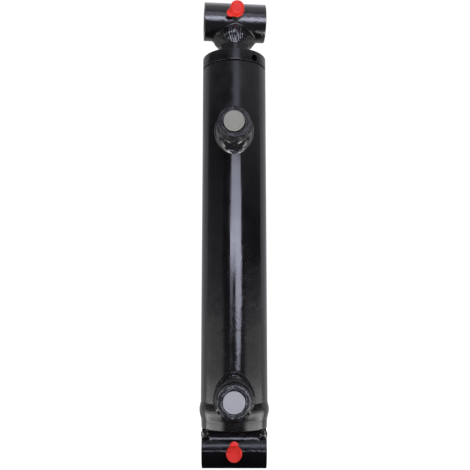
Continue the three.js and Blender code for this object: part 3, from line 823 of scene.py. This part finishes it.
def rod_tube_weld():
    """The weld between the rod and its cross tube: a cone from the rod to an oval line on the tube."""
    foot_z = 395 * MM
    oval_x, oval_y = 22.5 * MM, 18.2 * MM
    inner = ROD_R * 0.98
    steps = 40
    rows = [[] for _ in range(steps + 1)]
    root = []
    for angle in round_angles(WELD_COLUMNS):
        c, s = math.cos(angle), math.sin(angle)
        toe_y = oval_y * s
        toe = Vector((oval_x * c, toe_y, PIN_TO_PIN - math.sqrt(TUBE_R ** 2 - toe_y ** 2)))
        foot = Vector((ROD_R * c, ROD_R * s, foot_z))
        outward = Vector((c, s, -0.6)).normalized()
        for i, row in enumerate(rows):
            t = i / steps
            lip = 0.75 * MM * bell(t - 0.93, 0.045)
            bulge = 0.7 * MM * math.sin(math.pi * t)
            wave = 0.3 * MM * ripple(angle * ROD_R * 1.2, t, 9.0)
            crumple = 0.45 * MM * uneven(6.5 * c, 6.5 * s, 6 * t)
            fade = math.sin(math.pi * min(1, t / 0.8)) ** 0.7 if t < 0.8 else 0.0
            sink = 0.2 * MM if i == steps else 0.0
            row.append(foot.lerp(toe, t) + outward * (lip + bulge + (wave + crumple) * fade - sink))
        root.append((inner * c, inner * s, PIN_TO_PIN - math.sqrt(TUBE_R ** 2 - (inner * s) ** 2)))
    return piece_of(skin(rows + [root]), WELD_PAINT, TURNED)


def base_tube_weld(side, seed, blobs):
    """A hollow fillet weld along the base cross tube under the cap's edge, with a blob at each end.

    Each section's face runs from its toe on the tube up to its crest under the cap's edge.
    """
    columns = 190
    steps = 18
    half = 30.5 * MM
    toe_angle = math.radians(28.5)
    hollow = Vector((14.2 * MM, CAP_Z - 1.5 * MM))
    bulge = Vector((24 * MM, 11 * MM))
    outwards = Vector((0.8, -0.6))
    rows = []
    for k in range(columns + 1):
        u = 2 * k / columns - 1
        x = u * half
        blob = blobs[0 if u < 0 else 1] * bell(abs(u) - 0.87, 0.095)
        closing = math.sqrt(max(0.0, 1 - (max(0.0, abs(u) - 0.93) / 0.07) ** 2))
        cap_edge = math.sqrt(max(0.0, (CAP_R - 0.5 * MM) ** 2 - x ** 2))
        crest = Vector((min(23.5 * MM, max(cap_edge, TUBE_R)), CAP_Z + 0.1 * MM))
        at = toe_angle + 0.05 * uneven(x / (7 * MM), 0.0, seed)
        toe = Vector((TUBE_R * math.cos(at), TUBE_R * math.sin(at)))
        bend = hollow.lerp(bulge, blob)
        section = []
        for i in range(steps + 1):
            t = i / steps
            detail = 0.12 * MM * ripple(x, t, seed)
            crumple = 1.8 * MM * blob * uneven(x / (1.6 * MM), 4.5 * t, seed)
            surface = outwards * (detail + crumple) * math.sin(math.pi * t)
            section.append(bezier(t, toe, bend, crest) + surface)
        section.append(hollow - outwards * 1.5 * MM)
        middle = sum(section, Vector((0, 0))) / len(section)
        drawn_in = [middle + (p - middle) * max(closing, 0.05) for p in section]
        rows.append([(x, side * p.x, p.y) for p in drawn_in])
    return piece_of(skin(rows, ends_meet=False), SMOOTH_WELD_PAINT)


FRONT, BACK = -1, 1
ROD_PORT_REACHES = (19.4 * MM, 23.5 * MM, 24.5 * MM)
ROD_PORT_BEADS = ((232, 26, 1.0), (312, 26, 0.9))
BASE_PORT_REACHES = (19.6 * MM, 25.5 * MM, 21 * MM)
BASE_PORT_BEADS = ((212, 12, 0.5), (320, 10, 0.4))
for prefix, port_z, reaches, beads, seed, paint in (
    ("rod", ROD_PORT_Z, ROD_PORT_REACHES, ROD_PORT_BEADS, 2.0, WET_WELD_PAINT),
    ("base", BASE_PORT_Z, BASE_PORT_REACHES, BASE_PORT_BEADS, 3.0, SMOOTH_WELD_PAINT),
):
    stand_for(port_weld(port_z, reaches, beads, seed, paint), prefix + "_port_weld")
stand_for(girth_weld(), "girth_weld")
stand_for(rod_tube_weld(), "rod_tube_weld")
stand_for(base_tube_weld(FRONT, 6.0, (1.0, 0.6)), "base_tube_weld_front")
stand_for(base_tube_weld(BACK, 7.0, (0.6, 0.8)), "base_tube_weld_back")

# ---- Ports and plugs ----


def port_boss(port_z, paint):
    """A boss with its port; its foot follows the barrel's curve."""
    outline = [
        (PASSAGE_R, 0),
        (BOSS_R, 0),
        (BOSS_R, BOSS_FACE),
        (PORT_R + 1.3 * MM, BOSS_FACE),
        (PORT_R, BOSS_FACE - 2.4 * MM),
        (PORT_R, BOSS_FACE - 15 * MM),
        (PASSAGE_R, BOSS_FACE - 17 * MM),
    ]
    bm = lathed(outline, 0.7 * MM)
    for vertex in bm.verts:
        if vertex.co.z < BARREL_R / 2:
            vertex.co.z = math.sqrt(BARREL_R ** 2 - vertex.co.x ** 2)
    return piece_of(bm, paint, raised(port_z) @ ALONG_FRONT)


def port_plug(port_z, material):
    """A push-in cup with a rib round its stem and a slightly dished head."""
    head_r = 9.7 * MM
    stem_r = PORT_R - 0.45 * MM
    outline = [
        (0, BOSS_FACE - 1 * MM),
        (stem_r - 1.3 * MM, BOSS_FACE - 1 * MM),
        (stem_r - 1.3 * MM, BOSS_FACE - 12 * MM),
        (stem_r - 0.3 * MM, BOSS_FACE - 12 * MM),
        (stem_r, BOSS_FACE - 11 * MM),
        (stem_r, BOSS_FACE + 0.3 * MM),
        (head_r, BOSS_FACE + 0.3 * MM),
        (head_r, BOSS_FACE + 2.6 * MM),
        (head_r - 1.1 * MM, BOSS_FACE + 2.6 * MM),
        (head_r - 1.6 * MM, BOSS_FACE + 2.35 * MM),
        (0, BOSS_FACE + 2.35 * MM),
    ]
    return piece_of(lathed(outline, 0.5 * MM), material, raised(port_z) @ ALONG_FRONT)


for prefix, port_z, plug_material, scrape, gloss in (
    ("base", BASE_PORT_Z, COOL_PLUG, 0.17, 0.4),
    ("rod", ROD_PORT_Z, PLUG_WITH_WARM_REFLECTION, 0.07, 0.2),
):
    paint = boss_paint(prefix + "_port_boss_paint", port_z, scrape, gloss)
    stand_for(port_boss(port_z, paint), prefix + "_port_boss")
    stand_for(port_plug(port_z, plug_material), prefix + "_port_plug")

# ---- Piston rod, piston and seals ----

PISTON_BOTTOM_Z = box("piston")[0].z
PISTON_TOP_Z = box("piston")[1].z
STUD_R = 12.7 * MM


def ring_of(node, outline, material):
    stand_for(piece_of(lathed(outline, 0.3 * MM), material), node)


def inner_radius(node):
    return min(math.hypot(v.co.x, v.co.y) for v in frame["nodes"][node].data.vertices)


def band(node, material):
    """A plain ring that fills its CAD node's space."""
    low, high, _ = box(node)
    inner = inner_radius(node)
    ring_of(node, [(inner, low.z), (high.x, low.z), (high.x, high.z), (inner, high.z)], material)


def o_ring(node):
    """A round-section ring of its CAD node's mean size."""
    _, high, middle = box(node)
    inner = inner_radius(node)
    mean = (inner + high.x) / 2
    section = (high.x - inner) / 2
    outline = [(mean + section * math.cos(a), middle.z + section * math.sin(a)) for a in round_angles(24)]
    stand_for(piece_of(turned(outline), RUBBER), node)


def piston_rod():
    nut_low = box("piston_lock_nut")[0].z
    thread_r = 12 * MM
    top_z = 404 * MM
    outline = [
        (0, rod_low.z),
        (thread_r - 1 * MM, rod_low.z),
        (thread_r, nut_low + 0.5 * MM),
        (thread_r, PISTON_BOTTOM_Z - 0.3 * MM),
        (STUD_R, PISTON_BOTTOM_Z + 0.7 * MM),
        (STUD_R, PISTON_TOP_Z + 0.3 * MM),
        (ROD_R - 0.6 * MM, PISTON_TOP_Z + 0.3 * MM),
        (ROD_R, PISTON_TOP_Z + 1.3 * MM),
        (ROD_R, top_z),
        (0, top_z),
    ]
    return piece_of(lathed(outline, 0.4 * MM), ROD_SURFACE, TURNED)


def piston():
    radius = box("piston_guide_band_lower")[1].x - 0.2 * MM
    grooves = []
    for node, groove_r in (
        ("piston_guide_band_lower", 22.6 * MM),
        ("piston_seal", 20.2 * MM),
        ("piston_guide_band_upper", 22.6 * MM),
    ):
        low, high, _ = box(node)
        bottom, top = low.z - 0.3 * MM, high.z + 0.3 * MM
        grooves += [(radius, bottom), (groove_r, bottom), (groove_r, top), (radius, top)]
    bore = STUD_R + 0.3 * MM
    low_end = [(bore, PISTON_BOTTOM_Z), (radius, PISTON_BOTTOM_Z)]
    high_end = [(radius, PISTON_TOP_Z), (bore, PISTON_TOP_Z)]
    outline = low_end + grooves + high_end
    return piece_of(lathed(outline, 0.5 * MM), IRON, TURNED)


def lock_nut():
    low, high, _ = box("piston_lock_nut")
    across_flats = 38.1 * MM
    corner_r = across_flats / math.sqrt(3)
    nut = piece_of(bar(corner_r, low.z, high.z, 6), MACHINED)
    bevel = 1.6 * MM
    limit = [
        (0, low.z),
        (corner_r - bevel, low.z),
        (corner_r + 0.2 * MM, low.z + bevel),
        (corner_r + 0.2 * MM, high.z - bevel),
        (corner_r - bevel, high.z),
        (0, high.z),
    ]
    bevelled = piece_of(turned(limit), MACHINED, turned_by(2 * BIT_TURN))
    combined(nut, bevelled, "INTERSECT")
    drilled(nut, bar(12.3 * MM, 0, high.z * 2))
    nut.data.transform(TURNED)
    return nut


stand_for(piston_rod(), "piston_rod")
stand_for(piston(), "piston")
stand_for(lock_nut(), "piston_lock_nut")
for node, material in (
    ("piston_guide_band_lower", NYLON),
    ("piston_guide_band_upper", NYLON),
    ("rod_guide_band", NYLON),
    ("piston_seal", SEAL_PLASTIC),
    ("gland_backup_ring", SEAL_PLASTIC),
):
    band(node, material)
for node in ("gland_o_ring", "piston_seal_o_ring", "piston_o_ring"):
    o_ring(node)


def rod_wiper():
    low, high, _ = box("rod_wiper")
    outline = [
        (ROD_R + 1.4 * MM, low.z),
        (high.x, low.z),
        (high.x, GLAND_TOP_Z - 0.3 * MM),
        (18.2 * MM, GLAND_TOP_Z + 0.2 * MM),
        (17 * MM, high.z),
        (ROD_R + 0.3 * MM, high.z),
        (ROD_R + 0.3 * MM, high.z - 0.7 * MM),
        (ROD_R + 1.4 * MM, GLAND_TOP_Z - 1.2 * MM),
    ]
    ring_of("rod_wiper", outline, URETHANE)


def rod_seal():
    low, high, _ = box("rod_seal")
    outline = [
        (ROD_R + 0.3 * MM, low.z),
        (17.3 * MM, low.z),
        (18.2 * MM, low.z + 3 * MM),
        (19.1 * MM, low.z),
        (high.x, low.z),
        (high.x, high.z),
        (ROD_R + 0.6 * MM, high.z),
    ]
    ring_of("rod_seal", outline, URETHANE)


rod_wiper()
rod_seal()

# ---- Grease fittings ----

# Heights on a fitting are in mm from the cross tube's wall.
FITTING_TOP = 14.4
BALL_Z = FITTING_TOP - 3.3
SPRING_BOTTOM_Z = -2.6
SPRING_TOP_Z = BALL_Z - 2


def fitting_body(place):
    outline = [
        (1.2, -5.8),
        (4.9, -5.8),
        (4.9, 1.5),
        (2.9, 1.5),
        (2.9, FITTING_TOP - 5.2),
        (3.3, FITTING_TOP - 4),
        (3.3, FITTING_TOP - 2.4),
        (2.1, FITTING_TOP),
        (1, FITTING_TOP),
        (1, FITTING_TOP - 1.4),
        (2.1, BALL_Z + 0.3),
        (2.1, -3),
        (1.2, -3.4),
    ]
    metres = [(r * MM, z * MM) for r, z in outline]
    body = piece_of(lathed(metres, 0.3 * MM, FINE_SEGMENTS), PLATED)
    across_flats = 11.1 * MM
    corner_r = across_flats / math.sqrt(3)
    hexagon = piece_of(bar(corner_r, 0.3 * MM, 5.8 * MM, 6), PLATED)
    drilled(hexagon, bar(2.5 * MM, -1 * MM, 7 * MM))
    combined(body, hexagon, "UNION")
    body.data.transform(place)
    return body


def fitting_ball(place):
    bm = bmesh.new()
    bmesh.ops.create_icosphere(bm, subdivisions=4, radius=1.6 * MM)
    return piece_of(bm, BALL_STEEL, place @ raised(BALL_Z * MM))


def fitting_spring(place):
    """A compression spring with a closed coil at each end."""
    low, high = SPRING_BOTTOM_Z * MM, SPRING_TOP_Z * MM
    turns = 6
    per_turn = 24
    wire_r = 0.24 * MM
    coil_r = 1.35 * MM
    sides = 10
    rows = []
    for k in range(turns * per_turn + 1):
        t = k / (turns * per_turn)
        angle = 2 * math.pi * turns * t
        rise = min(1, max(0, (t * turns - 0.8) / (turns - 1.6)))
        centre = Vector((coil_r * math.cos(angle), coil_r * math.sin(angle), low + (high - low) * rise))
        outward = Vector((math.cos(angle), math.sin(angle), 0))
        corners = [math.cos(a) * outward + Vector((0, 0, math.sin(a))) for a in round_angles(sides)]
        rows.append([centre + wire_r * corner for corner in corners])
    return piece_of(skin(rows, ends_meet=False), MACHINED, place)


def compress(spring):
    """Gives the spring a mesh of its own; nothing here moves its ends."""
    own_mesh(spring)


def pull_tab(z):
    """A flat rounded tab along +Y, from inside the cap's skirt, with its lower face at z."""
    tab_r = 4 * MM
    root_y = 4.4 * MM
    reach = 6.8 * MM
    thickness = 1.8 * MM
    arc = [math.pi * k / 24 for k in range(25)]
    shape = [(tab_r * math.cos(a), reach + tab_r * math.sin(a)) for a in arc]
    shape += [(-tab_r, root_y), (tab_r, root_y)]
    bm = bmesh.new()
    lower = bm.faces.new([bm.verts.new((x, y, z)) for x, y in shape])
    extruded = bmesh.ops.extrude_face_region(bm, geom=[lower])["geom"]
    top = [part for part in extruded if isinstance(part, bmesh.types.BMVert)]
    bmesh.ops.translate(bm, verts=top, vec=(0, 0, thickness))
    bmesh.ops.recalc_face_normals(bm, faces=bm.faces)
    rims = [e for e in bm.edges if abs(e.verts[0].co.z - e.verts[1].co.z) < SLIVER]
    bmesh.ops.bevel(bm, geom=rims, offset=0.45 * MM, segments=3, profile=0.5, affect="EDGES")
    return piece_of(bm, RED)


def grease_cap(place, tab_angle):
    """A cup with a rim, and a pull tab that points along +Y before it is turned by tab_angle."""
    skirt_z, rim_z, face_z = 6.6, 8.2, 17.5
    outline = [
        (0, face_z - 0.9),
        (4.6, face_z - 0.9),
        (5.2, face_z - 0.3),
        (5.9, face_z),
        (6.5, face_z - 0.9),
        (6.9, rim_z + 2.8),
        (7.3, rim_z + 2.2),
        (7.3, rim_z),
        (5.6, rim_z),
        (5.4, skirt_z),
        (3.9, skirt_z),
        (3.9, FITTING_TOP + 0.6),
        (0, FITTING_TOP + 0.6),
    ]
    metres = [(r * MM, z * MM) for r, z in outline]
    cup = piece_of(lathed(metres, 0.5 * MM, FINE_SEGMENTS), RED)
    cap = combined(cup, pull_tab((rim_z + 0.05) * MM), "UNION")
    cap.data.transform(place @ turned_by(tab_angle))
    return cap


ON_TUBE = ALONG_FRONT @ raised(TUBE_R)
BASE_FITTING_PLACE = raised(BASE_FITTING_Z)
for prefix, tube_place, tab_degrees in (("base", BASE_FITTING_PLACE, 0), ("rod", AT_ROD_PIN, 118)):
    place = tube_place @ ON_TUBE
    stand_for(fitting_body(place), prefix + "_grease_fitting_body")
    stand_for(fitting_ball(place), prefix + "_grease_fitting_ball")
    spring = stand_for(fitting_spring(place), prefix + "_grease_fitting_spring")
    compress(spring)
    stand_for(grease_cap(place, math.radians(tab_degrees)), prefix + "_grease_cap")

# ---- Camera, floor and light ----

CAMERA_PLACE = (0.0008, -0.6366, 0.1112)
CAMERA_TILT_UP = math.radians(8.07)
WHITE_FIELD = 1.05
LIGHT_TINT = (0.79, 0.81, 1.0)


def camera():
    data = bpy.data.cameras.new("camera")
    data.lens = 50
    data.sensor_width = 36
    data.clip_start = 0.01
    eye = bpy.data.objects.new("camera", data)
    eye.location = CAMERA_PLACE
    eye.rotation_euler = (math.radians(90) + CAMERA_TILT_UP, 0, 0)
    bpy.context.scene.collection.objects.link(eye)
    bpy.context.scene.camera = eye


def floor_in_reflections(shader):
    """How brightly the floor glows in reflections: most at the object's sides, and dimly behind it."""
    x, y = shader.axis("X"), shader.axis("Y")
    distance = shader.length(x, y)
    around = shader.bearing(x, y)
    at_side = shader.ramp(around, -1.7, -0.9)
    behind = shader.ramp(around, 0.25, 0.35)
    wide = shader.ramp(distance, 0.75, 0.35, 0.7, 2.2)
    close = shader.ramp(distance, 0.3, 0.22, 0.0, 3.0)
    near = shader.times(shader.plus(wide, close), shader.ramp(distance, 0.08, 0.13))
    lit = shader.times(at_side, shader.times(near, shader.minus(1.0, behind)))
    return shader.plus(lit, shader.times(behind, 0.45))


def floor():
    """A pale floor that glows like a light table to the camera, and is dim in the object's reflections."""
    bm = bmesh.new()
    bmesh.ops.create_circle(bm, cap_ends=True, radius=12, segments=96)
    shader = Shader("floor", base_color=(0.12, 0.12, 0.12, 1), roughness=0.9, specular_ior_level=0.0)
    seen = shader.add("ShaderNodeLightPath").outputs["Is Camera Ray"]
    reflected = shader.times(shader.minus(1.0, seen), floor_in_reflections(shader))
    glow = shader.plus(shader.times(seen, WHITE_FIELD), reflected)
    shader.bsdf.inputs["Emission Color"].default_value = (1, 1, 1, 1)
    shader.tree.links.new(glow, shader.bsdf.inputs["Emission Strength"])
    ground = piece_of(bm, shader.material, raised(cad_box[0][2] - 0.2 * MM), "floor")


def softbox(name, centre, width, height, facing, radiance):
    """A rectangular light whose face has that radiance, turned towards the point facing."""
    data = bpy.data.lights.new(name, "AREA")
    data.shape = "RECTANGLE"
    data.size = width
    data.size_y = height
    data.energy = math.pi * width * height * radiance
    data.color = LIGHT_TINT
    light = bpy.data.objects.new(name, data)
    light.location = centre
    direction = Vector(facing) - Vector(centre)
    light.rotation_euler = direction.to_track_quat("-Z", "Y").to_euler()
    light.visible_camera = False
    bpy.context.scene.collection.objects.link(light)


# The key light is a bank of panels in front of the object: each one's lowest and highest z, its left and
# right x, and its radiance. Low down it has a gap and dimmer panels left of it, which split the highlight.
LIGHT_BANK_Y = -1.75
LIGHT_BANK = (
    (0.66, 0.77, -0.28, 0.80, 6.2),
    (0.50, 0.66, -0.34, 0.80, 7.4),
    (0.34, 0.50, -0.43, 0.78, 10.5),
    (0.20, 0.34, 0.15, 0.82, 8.6),
    (0.20, 0.34, -0.44, -0.13, 2.6),
    (0.04, 0.20, 0.21, 0.72, 7.5),
    (0.04, 0.20, -0.42, -0.30, 1.6),
    (-0.06, 0.04, 0.34, 0.62, 6.0),
)


def studio():
    for i, (low, high, left, right, radiance) in enumerate(LIGHT_BANK):
        x, z = (left + right) / 2, (low + high) / 2
        softbox(f"bank_{i}", (x, LIGHT_BANK_Y, z), right - left, high - low, (x, 0, z), radiance)
    softbox("upper_front", (0.17, -1.2, 1.0), 0.44, 0.55, (0.17, 0, 1.0), 1.7)


def world():
    """White to the camera. In reflections: a pale backdrop behind, dim sides, and light above."""
    sky = bpy.data.worlds.new("studio")
    bpy.context.scene.world = sky
    sky.use_nodes = True
    nodes = Nodes(sky.node_tree)

    def step(value, low, high, to_low, to_high):
        return nodes.ramp(value, low, high, to_low, to_high, "LINEAR")

    direction = nodes.add("ShaderNodeTexCoord").outputs["Generated"]
    x, y, z = nodes.add("ShaderNodeSeparateXYZ", {0: direction}).outputs
    around = nodes.bearing(x, y)
    backdrop = nodes.times(step(around, 0.30, 0.34, 0.0, 1.0), step(x, -0.2, 0.2, 0.5, 0.58))
    left = nodes.times(step(x, -0.01, 0.01, 1.0, 0.0), step(around, -1.25, -1.1, 0.0, 1.0))
    left = nodes.times(left, step(z, 0.1, 0.36, 0.22, 0.03))
    right = nodes.times(step(x, 0.1, 0.3, 0.0, 1.0), step(z, 0.2, 0.38, 0.0, 0.28))
    horizon = nodes.times(step(around, -1.7, -0.9, 0.0, 1.0), step(z, 0.02, 0.1, 0.4, 0.0))
    sides = nodes.larger(nodes.larger(left, right), horizon)
    above = step(z, 0.4, 0.95, 0.0, 0.8)
    strength = nodes.plus(nodes.plus(nodes.larger(backdrop, sides), above), 0.03)
    shade = nodes.add("ShaderNodeBackground", {"Color": (0.94, 0.92, 1.0, 1), "Strength": strength})
    plain = nodes.add("ShaderNodeBackground", {"Color": (1, 1, 1, 1), "Strength": WHITE_FIELD})
    seen = nodes.add("ShaderNodeLightPath").outputs["Is Camera Ray"]
    chooser = nodes.add("ShaderNodeMixShader", {0: seen, 1: shade.outputs[0], 2: plain.outputs[0]})
    nodes.tree.links.new(chooser.outputs[0], nodes.tree.nodes["World Output"].inputs["Surface"])


camera()
floor()
studio()
world()
bpy.context.scene.view_settings.view_transform = "Standard"
